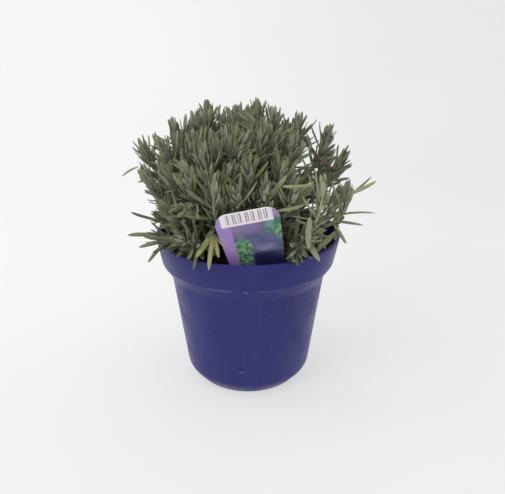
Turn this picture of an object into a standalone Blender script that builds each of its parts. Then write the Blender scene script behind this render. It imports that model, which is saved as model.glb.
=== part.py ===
"""A young lavender in a moulded plastic nursery pot, with a plant label pushed into its soil.

Metres, +Z up. The origin is on the pot's axis at floor level, and the front of the pot faces -Y.
The pot holds a turned block of potting soil. The plant is a woody crown, half buried in the soil,
and leafy shoots that fan out from the crown's rounded head. The label stands in a slot at the front.
"""
import math
from dataclasses import dataclass, replace

import bmesh
import bpy
from mathutils import Vector
from mathutils.bvhtree import BVHTree

# Clearance left between pieces that rest on one another.
GAP = 0.0003

# Pot: outer radii and heights, from the foot up to the lip.
POT_HEIGHT = 0.1140
POT_WALL = 0.0014
POT_SIDES = 56
LIP_RADIUS = 0.0670
LIP_ROUND = 0.0006
BAND_RADIUS, BAND_HEIGHT = 0.0633, 0.0940
SHOULDER_RADIUS, SHOULDER_HEIGHT = 0.0568, 0.0844
HEEL_RADIUS, HEEL_HEIGHT = 0.0468, 0.0090
FOOT_RADIUS = 0.0390
FOOT_WIDTH = 0.0030
FOOT_TAPER = 0.0015
BASE_RECESS = 0.0025
INNER_STEP = 0.0005
DRAIN_COUNT = 8
DRAIN_SIDES = 12
DRAIN_RADIUS = 0.0040
DRAIN_CIRCLE = 0.0270

# Soil: how far it stands below the lip, and how much it is heaped in the middle.
SOIL_BELOW_LIP = 0.0105
SOIL_HEAP = 0.0012

# Woody crown: a rounded head on a short tap root.
CROWN_CENTRE = Vector((0.0, 0.0, 0.1120))
CROWN_RADIUS = 0.0130
CROWN_SIDES = 24
CROWN_ARC_STEPS = 8
CROWN_ARC_STEP = math.radians(15)
ROOT_RADIUS = 0.0070
ROOT_TIP_HEIGHT = 0.0760

# Label: a thin stake with a rounded head, leaning forward and to the left.
LABEL_POINT = Vector((0.0062, -0.0555, 0.1140))
LABEL_THICKNESS = 0.0005
LABEL_FORWARD = math.radians(10.0)
LABEL_TURN = math.radians(12.0)
LABEL_TOP = 0.0365
LABEL_HALF_TOP = 0.0206
LABEL_HALF_RIM = 0.0184
LABEL_HALF_SOIL = 0.0174
LABEL_SOIL = -0.0100
LABEL_NECK, LABEL_HALF_NECK = -0.0270, 0.0070
LABEL_TIP, LABEL_HALF_TIP = -0.0600, 0.0012
LABEL_CORNER = 0.0080
LABEL_CORNER_STEPS = 8

# Shoots: square stems that leave the crown's head low and turn up towards their tips.
STEM_HALF_BASE = 0.00095
STEM_HALF_TIP = 0.00070
STEM_BELLY = 0.55
STEM_SPREAD = math.radians(8.0)
STEM_SWEEP = math.radians(14.0)
STEM_UPTURN = math.radians(18.0)
NODE_HALF = 0.0006
BUD_LENGTH = 0.0110

# Leaf pairs down a shoot: distance below the tip, leaf length, and opening from the stem in degrees.
LEAF_PAIRS = (
    (0.0130, 0.0130, 18),
    (0.0180, 0.0175, 29),
    (0.0245, 0.0215, 40),
    (0.0335, 0.0240, 52),
    (0.0445, 0.0240, 66),
)
LEAF_HALF_WIDTH = 0.0016
LEAF_HALF_THICKNESS = 0.0004
LEAF_BELLY = 0.45
LEAF_FOOT = 0.0012
LEAF_CURL = 0.10
# How a leaf may move aside for its neighbours: further open, swung sideways (degrees), shortened.
LEAF_TRIES = (
    (0, 0, 1.0), (10, 0, 1.0), (-8, 0, 1.0), (0, 14, 1.0), (0, -14, 1.0), (12, 14, 0.9),
    (12, -14, 0.9), (0, 0, 0.75), (12, 0, 0.7), (0, 22, 0.7), (0, -22, 0.7), (0, 0, 0.5),
)

# Where the shoots' tips stand: azimuth from the front towards +X and lean from upright, in degrees,
# and distance from the crown's centre. The rows go from the top of the plant down to its skirt.
SHOOTS = (
    (-98, 17, 0.0985), (-60, 5, 0.0940), (150, 9, 0.0960), (72, 12, 0.0940), (104, 24, 0.0935),
    (-92, 32, 0.0985), (-116, 27, 0.0955), (-88, 47, 0.1035), (-74, 40, 0.0945), (-70, 54, 0.0925),
    (96, 36, 0.0985), (86, 47, 0.0995), (70, 58, 0.0895),
    (-55, 30, 0.0915), (-34, 35, 0.0895), (-22, 22, 0.0915), (16, 22, 0.0915), (44, 28, 0.0905),
    (62, 39, 0.0895),
    (-55, 48, 0.0885), (-36, 49, 0.0895), (-17, 46, 0.0885), (1, 39, 0.0885), (23, 41, 0.0905),
    (44, 50, 0.0885),
    (-42, 63, 0.0875), (-6, 50, 0.0850), (11, 49, 0.0860), (28, 51, 0.0865), (50, 64, 0.0865),
    (-64, 69, 0.0895), (-50, 77, 0.0855), (-33, 74, 0.0865), (66, 74, 0.0865), (34, 74, 0.0845),
    (-86, 64, 0.0945), (88, 66, 0.0910),
    (180, 26, 0.0945), (-142, 34, 0.0935), (138, 36, 0.0935),
    (-114, 49, 0.0925), (-152, 49, 0.0885), (170, 46, 0.0885), (116, 51, 0.0915),
    (-106, 68, 0.0905), (-134, 64, 0.0865), (-168, 64, 0.0780), (156, 64, 0.0800), (128, 66, 0.0865),
    (108, 69, 0.0895), (-150, 77, 0.0815), (172, 78, 0.0760), (142, 78, 0.0815),
)

COLOURS = {
    "pot": ((0.038, 0.040, 0.155), 0.45),
    "potting_soil": ((0.020, 0.015, 0.011), 0.95),
    "plant_label": ((0.33, 0.27, 0.48), 0.35),
    "woody_crown": ((0.115, 0.080, 0.055), 0.85),
    "shoot": ((0.090, 0.110, 0.060), 0.80),
}


def clear_scene():
    for thing in list(bpy.data.objects):
        bpy.data.objects.remove(thing, do_unlink=True)


def make_material(name):
    colour, roughness = COLOURS[name]
    material = bpy.data.materials.new(name)
    material.use_nodes = True
    shader = material.node_tree.nodes["Principled BSDF"]
    shader.inputs["Base Color"].default_value = (*colour, 1.0)
    shader.inputs["Roughness"].default_value = roughness
    shader.inputs["Metallic"].default_value = 0.0
    return material


def make_object(name, shape, material=None, smooth_angle=None):
    bmesh.ops.recalc_face_normals(shape, faces=shape.faces)
    mesh = bpy.data.meshes.new(name)
    shape.to_mesh(mesh)
    shape.free()
    if material:
        mesh.materials.append(material)
    if smooth_angle:
        mesh.shade_smooth()
        mesh.set_sharp_from_angle(angle=math.radians(smooth_angle))
    thing = bpy.data.objects.new(name, mesh)
    bpy.context.collection.objects.link(thing)
    return thing


def cut_away(thing, cutter):
    cutter.hide_render = True
    cutter.display_type = "WIRE"
    cut = thing.modifiers.new(cutter.name, "BOOLEAN")
    cut.operation = "DIFFERENCE"
    cut.solver = "EXACT"
    cut.object = cutter


def turned(profile, sides):
    """A closed shape turned about Z from (radius, height) points that start and end on the axis."""
    shape = bmesh.new()
    points = [shape.verts.new((radius, 0.0, height)) for radius, height in profile]
    edges = [shape.edges.new(pair) for pair in zip(points, points[1:])]
    bmesh.ops.spin(
        shape, geom=points + edges, cent=(0, 0, 0), axis=(0, 0, 1),
        angle=math.tau, steps=sides, use_merge=True,
    )
    bmesh.ops.remove_doubles(shape, verts=shape.verts, dist=0.00001)
    return shape


def pot_inner_profile(clearance):
    """The pot's inner wall, lip to floor, moved in by a clearance."""
    inset = POT_WALL + clearance
    return [
        (LIP_RADIUS - inset, POT_HEIGHT),
        (BAND_RADIUS - inset, BAND_HEIGHT + INNER_STEP),
        (SHOULDER_RADIUS - inset, SHOULDER_HEIGHT + INNER_STEP),
        (HEEL_RADIUS - inset, HEEL_HEIGHT + INNER_STEP),
    ]


def pot_shape():
    floor = BASE_RECESS + POT_WALL
    ring = FOOT_RADIUS - FOOT_WIDTH
    outer = [
        (LIP_RADIUS - LIP_ROUND, POT_HEIGHT),
        (LIP_RADIUS, POT_HEIGHT - LIP_ROUND),
        (BAND_RADIUS, BAND_HEIGHT),
        (SHOULDER_RADIUS, SHOULDER_HEIGHT),
        (HEEL_RADIUS, HEEL_HEIGHT),
        (FOOT_RADIUS, 0.0),
    ]
    underside = [(ring, 0.0), (ring - FOOT_TAPER, BASE_RECESS), (0.0, BASE_RECESS)]
    trough = [
        (FOOT_RADIUS - 0.5 * POT_WALL, POT_WALL),
        (ring + 0.5 * POT_WALL, POT_WALL),
        (ring + 0.5 * POT_WALL - FOOT_TAPER, floor),
    ]
    outside = underside[::-1] + outer[::-1]
    inside = pot_inner_profile(0.0) + trough + [(0.0, floor)]
    return turned(outside + inside, POT_SIDES)


def drain_cutters():
    shape = bmesh.new()
    depth = 4 * (BASE_RECESS + POT_WALL)
    for index in range(DRAIN_COUNT):
        angle = math.tau * (index + 0.5) / DRAIN_COUNT
        made = bmesh.ops.create_cone(
            shape, cap_ends=True, segments=DRAIN_SIDES, depth=depth,
            radius1=DRAIN_RADIUS, radius2=DRAIN_RADIUS,
        )
        place = Vector((math.cos(angle), math.sin(angle), 0.0)) * DRAIN_CIRCLE
        bmesh.ops.translate(shape, verts=made["verts"], vec=place)
    return shape


def soil_top():
    return POT_HEIGHT - SOIL_BELOW_LIP


def soil_shape():
    floor = BASE_RECESS + POT_WALL + GAP
    wall = pot_inner_profile(GAP)
    lip, band = wall[0], wall[1]
    share = (soil_top() - band[1]) / (lip[1] - band[1])
    edge = band[0] + share * (lip[0] - band[0])
    mound = [
        (0.0, soil_top() + SOIL_HEAP),
        (0.45 * edge, soil_top() + 0.7 * SOIL_HEAP),
        (0.80 * edge, soil_top() + 0.2 * SOIL_HEAP),
        (edge, soil_top()),
    ]
    foot = [(FOOT_RADIUS - FOOT_WIDTH - FOOT_TAPER, floor), (0.0, floor)]
    return turned(mound + wall[1:] + foot, POT_SIDES)


def crown_shape(grow):
    radius = CROWN_RADIUS + grow
    profile = [(0.0, CROWN_CENTRE.z + radius)]
    for step in range(1, CROWN_ARC_STEPS + 1):
        lean = CROWN_ARC_STEP * step
        profile.append((radius * math.sin(lean), CROWN_CENTRE.z + radius * math.cos(lean)))
    profile.append((ROOT_RADIUS + grow, 0.5 * (CROWN_CENTRE.z + ROOT_TIP_HEIGHT)))
    profile.append((0.4 * ROOT_RADIUS + grow, ROOT_TIP_HEIGHT))
    profile.append((0.0, ROOT_TIP_HEIGHT - grow))
    return turned(profile, CROWN_SIDES)


def label_outline(grow):
    """Half-widths and heights of the stake's right side, tip to top, in the label's own plane."""
    corner = LABEL_CORNER
    side = [
        (LABEL_HALF_TIP + grow, LABEL_TIP - grow),
        (LABEL_HALF_NECK + grow, LABEL_NECK),
        (LABEL_HALF_SOIL + grow, LABEL_SOIL),
        (LABEL_HALF_RIM + grow, 0.0),
    ]
    for step in range(LABEL_CORNER_STEPS + 1):
        angle = math.radians(90) * step / LABEL_CORNER_STEPS
        across = LABEL_HALF_TOP - corner + (corner + grow) * math.cos(angle)
        up = LABEL_TOP - corner + (corner + grow) * math.sin(angle)
        side.append((across, up))
    return side


def label_shape(grow):
    side = label_outline(grow)
    outline = side + [(-across, up) for across, up in reversed(side)]
    right = Vector((math.cos(LABEL_TURN), 0.0, math.sin(LABEL_TURN)))
    upright = Vector((-math.sin(LABEL_TURN), 0.0, math.cos(LABEL_TURN)))
    out = Vector((0.0, -math.sin(LABEL_FORWARD), math.cos(LABEL_FORWARD) - 1.0))
    front = Vector((0.0, -math.cos(LABEL_FORWARD), -math.sin(LABEL_FORWARD)))
    half = 0.5 * LABEL_THICKNESS + grow
    shape = bmesh.new()
    corners = []
    for across, up in outline:
        flat = right * across + upright * up
        place = LABEL_POINT + flat + out * flat.z + front * half
        corners.append(shape.verts.new(place))
    face = shape.faces.new(corners)
    made = bmesh.ops.extrude_face_region(shape, geom=[face])
    moved = [item for item in made["geom"] if isinstance(item, bmesh.types.BMVert)]
    bmesh.ops.translate(shape, verts=moved, vec=front * (-2 * half))
    return shape


def direction(azimuth, lean):
    return Vector((
        math.sin(lean) * math.sin(azimuth), -math.sin(lean) * math.cos(azimuth), math.cos(lean),
    ))


class Shoot:
    """One stem's curve: it lies in the upright plane of its own azimuth, so no two stems cross."""

    def __init__(self, azimuth, lean, length):
        self.azimuth = math.radians(azimuth)
        lean = math.radians(lean)
        start = direction(self.azimuth, lean + STEM_SPREAD * math.sin(2 * lean))
        sweep = STEM_SWEEP * math.sin(lean) + STEM_UPTURN * math.sin(2 * lean) ** 2
        belly = direction(self.azimuth, lean + sweep)
        tip = direction(self.azimuth, lean)
        self.start = CROWN_CENTRE + start * (CROWN_RADIUS + GAP)
        self.belly = CROWN_CENTRE + belly * (STEM_BELLY * length)
        self.tip = CROWN_CENTRE + tip * length
        self.across = Vector((math.cos(self.azimuth), math.sin(self.azimuth), 0.0))

    def point(self, t):
        return self.start * (1 - t) ** 2 + self.belly * (2 * t * (1 - t)) + self.tip * t * t

    def along(self, t):
        return ((self.belly - self.start) * (1 - t) + (self.tip - self.belly) * t).normalized()

    def t_below_tip(self, distance):
        """Walks down from the tip until that length of stem has passed."""
        steps = 200
        walked, t = 0.0, 1.0
        while walked < distance and t > 0.0:
            walked += (self.point(t) - self.point(t - 1 / steps)).length
            t -= 1 / steps
        return max(t, 0.0)

    def half(self, t):
        return STEM_HALF_BASE + (STEM_HALF_TIP - STEM_HALF_BASE) * t

    def ring(self, t):
        """The stem's four corners at t."""
        across = self.across * self.half(t)
        inward = self.across.cross(self.along(t)) * self.half(t)
        centre = self.point(t)
        return [
            centre + across + inward,
            centre - across + inward,
            centre - across - inward,
            centre + across - inward,
        ]


def stem_shape(shoot):
    """The bare stem: a square tube with a short band at each leaf pair, and a pointed bud."""
    stations = []
    for distance, _, _ in reversed(LEAF_PAIRS):
        stations.append(shoot.t_below_tip(distance + NODE_HALF))
        stations.append(shoot.t_below_tip(distance - NODE_HALF))
    stations = [0.0, 0.5 * stations[0]] + stations + [shoot.t_below_tip(BUD_LENGTH)]
    shape = bmesh.new()
    rings = [[shape.verts.new(corner) for corner in shoot.ring(t)] for t in stations]
    for low, high in zip(rings, rings[1:]):
        for side in range(4):
            after = (side + 1) % 4
            shape.faces.new((low[side], low[after], high[after], high[side]))
    shape.faces.new(rings[0][::-1])
    cap = shape.faces.new(rings[-1])
    bud = bmesh.ops.poke(shape, faces=[cap])
    bud["verts"][0].co = shoot.tip
    bmesh.ops.recalc_face_normals(shape, faces=shape.faces)
    shape.faces.ensure_lookup_table()
    return shape


@dataclass
class Leaf:
    """A flat blade that tapers from a square seat on the stem to a point."""

    along: Vector
    side: Vector
    seat: Vector
    seat_half: float
    length: float
    opening: float
    swing: float = 0.0

    def moved(self, opening, swing, scale):
        return replace(
            self, opening=self.opening + math.radians(opening), swing=math.radians(swing),
            length=self.length * scale,
        )

    def frame(self):
        width = self.along.cross(self.side).normalized()
        blade = self.along * math.cos(self.opening) + self.side * math.sin(self.opening)
        blade = (blade * math.cos(self.swing) + width * math.sin(self.swing)).normalized()
        width = (width - blade * width.dot(blade)).normalized()
        return blade, width, width.cross(blade)

    def belly(self):
        blade, _, _ = self.frame()
        return self.seat + blade * (LEAF_BELLY * self.length)

    def tip(self):
        blade, _, _ = self.frame()
        return self.seat + blade * self.length + self.along * (LEAF_CURL * self.length)

    def tree(self, grow):
        """A collision tree of the blade past its foot, grown all round."""
        blade, width, normal = self.frame()
        seat = self.seat + blade * LEAF_FOOT
        wide = (LEAF_HALF_WIDTH + grow) * width
        thick = (LEAF_HALF_THICKNESS + grow) * normal
        narrow = (self.seat_half + grow) * width
        corners = [seat + narrow + thick, seat - narrow + thick, seat - narrow - thick,
                   seat + narrow - thick]
        belly = self.belly()
        corners += [belly + wide + thick, belly - wide + thick, belly - wide - thick,
                    belly + wide - thick]
        corners.append(self.tip() + blade * grow)
        faces = [(3, 2, 1, 0)]
        for index in range(4):
            after = (index + 1) % 4
            faces.append((index, after, 4 + after, 4 + index))
            faces.append((4 + index, 4 + after, 8))
        return BVHTree.FromPolygons(corners, faces)


def near(low_a, high_a, low_b, high_b):
    return all(low_a[i] <= high_b[i] and low_b[i] <= high_a[i] for i in range(3))


def leaf_box(leaf):
    ends = (leaf.seat, leaf.belly(), leaf.tip())
    reach = LEAF_HALF_WIDTH + GAP
    low = [min(end[i] for end in ends) - reach for i in range(3)]
    high = [max(end[i] for end in ends) + reach for i in range(3)]
    return low, high


def shape_box(shape):
    low = [min(vert.co[i] for vert in shape.verts) for i in range(3)]
    high = [max(vert.co[i] for vert in shape.verts) for i in range(3)]
    return low, high


def place_leaves(shoots, obstacles):
    """Each shoot's leaves, tip pairs first. A leaf turns aside or is left off where it has no room."""
    taken = list(obstacles)
    placed = [[] for _ in shoots]
    for pair, (distance, length, opening) in enumerate(LEAF_PAIRS):
        for index, shoot in enumerate(shoots):
            t = shoot.t_below_tip(distance)
            inward = shoot.across.cross(shoot.along(t))
            axis = shoot.across if pair % 2 else inward
            for side in (axis, -axis):
                seat = shoot.point(t) + side * shoot.half(t)
                wanted = Leaf(
                    shoot.along(t), side, seat, shoot.half(t), length, math.radians(opening),
                )
                for turn in LEAF_TRIES:
                    leaf = wanted.moved(*turn)
                    low, high = leaf_box(leaf)
                    tree = leaf.tree(GAP)
                    rivals = [
                        other for owner, box, other in taken
                        if owner != index and near(low, high, *box)
                    ]
                    if not any(tree.overlap(other) for other in rivals):
                        placed[index].append(leaf)
                        taken.append((index, (low, high), leaf.tree(0.0)))
                        break
    return placed


def grow_leaf(shape, leaf):
    """Draws the blade out of the stem's side face at its band, then pulls the end to a point."""
    band = min(
        (face for face in shape.faces if len(face.verts) == 4),
        key=lambda face: (face.calc_center_median() - leaf.seat).length,
    )
    end = bmesh.ops.extrude_discrete_faces(shape, faces=[band])["faces"][0]
    _, width, normal = leaf.frame()
    centre = end.calc_center_median()
    for vert in end.verts:
        offset = vert.co - centre
        across = math.copysign(LEAF_HALF_WIDTH, offset.dot(width))
        through = math.copysign(LEAF_HALF_THICKNESS, offset.dot(normal))
        vert.co = leaf.belly() + width * across + normal * through
    point = bmesh.ops.poke(shape, faces=[end])
    point["verts"][0].co = leaf.tip()


def build():
    clear_scene()
    pot_form = pot_shape()
    soil_form = soil_shape()
    crown_form = crown_shape(0.0)
    label_form = label_shape(0.0)
    fixed = [
        (None, shape_box(form), BVHTree.FromBMesh(form))
        for form in (pot_form, soil_form, crown_form, label_form)
    ]

    pot = make_object("pot", pot_form, make_material("pot"), 30)
    cut_away(pot, make_object("drain_hole_cutters", drain_cutters()))
    soil = make_object("potting_soil", soil_form, make_material("potting_soil"), 30)
    cut_away(soil, make_object("root_cutter", crown_shape(GAP)))
    cut_away(soil, make_object("label_cutter", label_shape(GAP)))
    make_object("woody_crown", crown_form, make_material("woody_crown"), 40)
    make_object("plant_label", label_form, make_material("plant_label"))

    shoots = [Shoot(*values) for values in SHOOTS]
    stems = [stem_shape(shoot) for shoot in shoots]
    standing = [
        (index, shape_box(stem), BVHTree.FromBMesh(stem)) for index, stem in enumerate(stems)
    ]
    leaves = place_leaves(shoots, fixed + standing)
    green = make_material("shoot")
    for index, stem in enumerate(stems):
        for leaf in leaves[index]:
            grow_leaf(stem, leaf)
        make_object(f"shoot_{index + 1:02d}", stem, green)


build()
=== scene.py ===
import math
import random

import bmesh
import bpy
import numpy as np
from mathutils import Matrix, Quaternion, Vector
from mathutils import noise as solid_noise


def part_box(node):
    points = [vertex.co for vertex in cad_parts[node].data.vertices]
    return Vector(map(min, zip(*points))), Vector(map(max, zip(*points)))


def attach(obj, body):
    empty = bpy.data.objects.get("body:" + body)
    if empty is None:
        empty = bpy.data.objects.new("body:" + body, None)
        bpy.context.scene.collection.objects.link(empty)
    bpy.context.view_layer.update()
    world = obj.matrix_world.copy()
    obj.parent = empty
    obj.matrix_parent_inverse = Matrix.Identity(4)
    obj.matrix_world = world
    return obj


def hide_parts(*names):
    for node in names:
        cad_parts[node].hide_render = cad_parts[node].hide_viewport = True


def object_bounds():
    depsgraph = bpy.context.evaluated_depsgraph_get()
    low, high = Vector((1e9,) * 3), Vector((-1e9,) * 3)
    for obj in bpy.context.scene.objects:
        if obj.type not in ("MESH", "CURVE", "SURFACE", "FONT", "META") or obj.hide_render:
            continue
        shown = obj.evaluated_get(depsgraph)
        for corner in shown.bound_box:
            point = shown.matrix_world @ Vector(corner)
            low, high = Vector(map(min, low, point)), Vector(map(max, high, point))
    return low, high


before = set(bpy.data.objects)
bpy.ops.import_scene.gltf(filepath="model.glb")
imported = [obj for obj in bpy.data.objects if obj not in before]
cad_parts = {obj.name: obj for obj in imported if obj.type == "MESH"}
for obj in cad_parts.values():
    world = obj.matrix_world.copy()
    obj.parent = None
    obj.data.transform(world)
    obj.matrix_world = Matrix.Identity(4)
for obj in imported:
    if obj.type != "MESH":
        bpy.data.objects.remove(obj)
cad_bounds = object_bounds()


# ------------------------------------------------------------------------------------------------
# The nursery pot. One injection moulding in blue-violet plastic: a thin wall with a rim band, a
# shoulder, a chamfered heel and a raised, drilled base. It came out of its mould in one shot, so a
# pull pip hangs under the band and a small gate dimple shows low on the front.
# ------------------------------------------------------------------------------------------------
_, pot_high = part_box("pot")
lip_radius = pot_high.x
pot_height = pot_high.z
wall = 0.0014
band_radius, band_height = 0.945 * lip_radius, 0.825 * pot_height
shoulder_radius, shoulder_height = 0.848 * lip_radius, 0.740 * pot_height
heel_radius, heel_height = 0.698 * lip_radius, 0.079 * pot_height
foot_radius = 0.582 * lip_radius
foot_width, foot_taper, base_recess = 0.0030, 0.0015, 0.0025
inside_rise = 0.0005
lip_inside = lip_radius - 1.5 * wall


def deselect_all():
    if bpy.context.object and bpy.context.object.mode != "OBJECT":
        bpy.ops.object.mode_set(mode="OBJECT")
    bpy.ops.object.select_all(action="DESELECT")


def pick_up(piece):
    deselect_all()
    piece.select_set(True)
    bpy.context.view_layer.objects.active = piece


def open_mesh():
    """Enters edit mode with all of the picked piece selected."""
    bpy.ops.object.mode_set(mode="EDIT")
    bpy.ops.mesh.select_all(action="SELECT")


def close_mesh():
    bpy.ops.object.mode_set(mode="OBJECT")


def face_outwards():
    bpy.ops.mesh.select_all(action="SELECT")
    bpy.ops.mesh.normals_make_consistent(inside=False)


def choose(piece, kind, wanted):
    """In edit mode, selects only the vertices, edges or faces that pass the test."""
    bpy.context.tool_settings.mesh_select_mode = (kind == "verts", kind == "edges", kind == "faces")
    shape = bmesh.from_edit_mesh(piece.data)
    for item in (*shape.verts, *shape.edges, *shape.faces):
        item.select = False
    for item in getattr(shape, kind):
        if wanted(item):
            item.select_set(True)
    bmesh.update_edit_mesh(piece.data)


def apply_modifier(piece, kind, **settings):
    pick_up(piece)
    modifier = piece.modifiers.new(kind.lower(), kind)
    for name, value in settings.items():
        setattr(modifier, name, value)
    bpy.ops.object.modifier_apply(modifier=modifier.name)


def settle(piece):
    """Puts the piece's place, turn and size into its mesh, with the object at the origin."""
    pick_up(piece)
    bpy.ops.object.transform_apply(location=True, rotation=True, scale=True)


def cut(piece, cutter):
    apply_modifier(piece, "BOOLEAN", operation="DIFFERENCE", solver="EXACT", object=cutter)
    bpy.data.objects.remove(cutter)


def raise_rings(piece, rings, width, height):
    """Turns a solid upwards: each ring is drawn out of the last face and sized."""
    for next_width, next_height in rings:
        bpy.ops.mesh.extrude_region_move(TRANSFORM_OT_translate={"value": (0, 0, next_height - height)})
        bpy.ops.transform.resize(
            value=(next_width / width, next_width / width, 1.0), center_override=(0, 0, next_height),
        )
        width, height = next_width, next_height


def ring_edge(edge, radius, height):
    """True for the edges that run around a turned piece at that radius and height."""
    return all(
        abs(math.hypot(vert.co.x, vert.co.y) - radius) < 0.0002 and abs(vert.co.z - height) < 0.0001
        for vert in edge.verts
    )


deselect_all()
base_radius = foot_radius - foot_width - foot_taper
bpy.ops.mesh.primitive_circle_add(
    vertices=160, radius=base_radius, fill_type="NGON", location=(0, 0, base_recess),
)
pot = bpy.context.object
pot.name = "nursery_pot"
settle(pot)
open_mesh()
outer_rings = [
    (foot_radius - foot_width, 0.0),
    (foot_radius, 0.0),
    (heel_radius, heel_height),
    (shoulder_radius, shoulder_height),
    (band_radius, band_height),
    (lip_radius, pot_height - 0.0016),
    (lip_radius, pot_height),
]
inner_rings = [
    (lip_inside, pot_height),
    (lip_inside, pot_height - 0.0030),
    (band_radius - wall, band_height + inside_rise),
    (shoulder_radius - wall, shoulder_height + inside_rise),
    (heel_radius - wall, heel_height + inside_rise),
    (foot_radius - 0.5 * wall, wall),
    (base_radius + foot_taper + 0.5 * wall, wall),
    (base_radius + 0.5 * wall, base_recess + wall),
]
raise_rings(pot, outer_rings + inner_rings, base_radius, base_recess)
face_outwards()
for radius, height, softness, steps in (
    (heel_radius, heel_height, 0.0035, 4),
    (shoulder_radius, shoulder_height, 0.0020, 3),
    (band_radius, band_height, 0.0007, 2),
    (foot_radius, 0.0, 0.0006, 2),
    (foot_radius - foot_width, 0.0, 0.0006, 2),
    (lip_radius, pot_height, 0.0007, 3),
    (lip_inside, pot_height, 0.0007, 3),
):
    choose(pot, "edges", lambda edge: ring_edge(edge, radius, height))
    bpy.ops.mesh.bevel(offset=softness, segments=steps, affect="EDGES")
close_mesh()

# Drainage holes near the edge of the base.
hole_count, hole_radius, hole_ring = 8, 0.0040, 0.0270
for index in range(hole_count):
    angle = math.tau * (index + 0.5) / hole_count
    deselect_all()
    bpy.ops.mesh.primitive_cylinder_add(
        vertices=24, radius=hole_radius, depth=0.02,
        location=(hole_ring * math.cos(angle), hole_ring * math.sin(angle), 0.0),
    )
    cut(pot, bpy.context.object)

# The gate dimple: a shallow thumbnail-shaped hollow low on the front.
deselect_all()
dimple_aside, dimple_height = -0.0052, 0.216 * pot_height
dimple_share = (dimple_height - heel_height) / (shoulder_height - heel_height)
dimple_radius = heel_radius + dimple_share * (shoulder_radius - heel_radius)
bpy.ops.mesh.primitive_uv_sphere_add(
    segments=24, ring_count=12, radius=1.0,
    location=(dimple_aside, -dimple_radius - 0.00005, dimple_height),
)
dimple = bpy.context.object
dimple.scale = (0.0037, 0.0012, 0.0019)
cut(pot, dimple)

# The pull pip: a tiny three-cornered nib that hangs from the band's lower edge.
deselect_all()
pip_aside = -0.0009
bpy.ops.mesh.primitive_cylinder_add(
    vertices=3, radius=0.0019, depth=0.0024, rotation=(math.radians(90), math.radians(180), 0),
    location=(pip_aside, -band_radius + 0.0012, band_height - 0.0007),
)
pip = bpy.context.object
apply_modifier(pot, "BOOLEAN", operation="UNION", solver="EXACT", object=pip)
bpy.data.objects.remove(pip)
pick_up(pot)
bpy.ops.object.shade_smooth_by_angle(angle=math.radians(28))


def add_node(tree, kind, **settings):
    node = tree.nodes.new(kind)
    for name, value in settings.items():
        setattr(node, name, value)
    return node


def plug(tree, source, target):
    """Feeds a socket from another socket, or sets it to a plain value."""
    if isinstance(source, bpy.types.NodeSocket):
        tree.links.new(source, target)
    else:
        is_colour = isinstance(source, tuple) and len(source) == 3
        target.default_value = (*source, 1.0) if is_colour else source


def new_finish(name, roughness, specular=0.5):
    finish = bpy.data.materials.new(name)
    finish.use_nodes = True
    shader = finish.node_tree.nodes["Principled BSDF"]
    shader.inputs["Roughness"].default_value = roughness
    shader.inputs["Specular IOR Level"].default_value = specular
    return finish, finish.node_tree, shader


def own_place(tree, stretch=(1, 1, 1)):
    """Object coordinates, stretched where a pattern runs one way."""
    place = add_node(tree, "ShaderNodeTexCoord").outputs["Object"]
    if stretch == (1, 1, 1):
        return place
    mapping = add_node(tree, "ShaderNodeMapping")
    mapping.inputs["Scale"].default_value = stretch
    plug(tree, place, mapping.inputs["Vector"])
    return mapping.outputs["Vector"]


def mottle(tree, place, scale, detail=3.0, roughness=0.55):
    noise = add_node(tree, "ShaderNodeTexNoise")
    noise.inputs["Scale"].default_value = scale
    noise.inputs["Detail"].default_value = detail
    noise.inputs["Roughness"].default_value = roughness
    plug(tree, place, noise.inputs["Vector"])
    return noise.outputs["Fac"]


def between(tree, value, low, high, bottom=0.0, top=1.0):
    """A soft step: bottom where the value is low, top where it is high."""
    span = add_node(tree, "ShaderNodeMapRange", interpolation_type="SMOOTHSTEP")
    plug(tree, value, span.inputs["Value"])
    for name, number in (("From Min", low), ("From Max", high), ("To Min", bottom), ("To Max", top)):
        span.inputs[name].default_value = number
    return span.outputs["Result"]


def sums(tree, operation, first, second=0.0):
    maths = add_node(tree, "ShaderNodeMath", operation=operation)
    plug(tree, first, maths.inputs[0])
    plug(tree, second, maths.inputs[1])
    return maths.outputs["Value"]


def times(tree, first, second):
    return sums(tree, "MULTIPLY", first, second)


def blotches(tree, place, scale, low, high, top=1.0, **noise):
    """Soft-edged patches of noise, from 0 to the top value."""
    return between(tree, mottle(tree, place, scale, **noise), low, high, top=top)


def split_place(tree, place):
    split = add_node(tree, "ShaderNodeSeparateXYZ")
    plug(tree, place, split.inputs["Vector"])
    return split.outputs


def away_from(tree, place, spot):
    away = add_node(tree, "ShaderNodeVectorMath", operation="DISTANCE")
    plug(tree, place, away.inputs[0])
    away.inputs[1].default_value = spot
    return away.outputs["Value"]


def tint(tree, share, under, over):
    mix = add_node(tree, "ShaderNodeMix", data_type="RGBA", blend_type="MIX")
    plug(tree, share, mix.inputs[0])
    plug(tree, under, mix.inputs[6])
    plug(tree, over, mix.inputs[7])
    return mix.outputs[2]


def coats(tree, colour, *layers):
    """Lays colours over one another, each as far as its mask lets it show."""
    for mask, over in layers:
        colour = tint(tree, mask, colour, over)
    return colour


def relief(tree, shader, height, depth):
    bump = add_node(tree, "ShaderNodeBump")
    bump.inputs["Distance"].default_value = depth
    plug(tree, height, bump.inputs["Height"])
    plug(tree, bump.outputs["Normal"], shader.inputs["Normal"])


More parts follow.
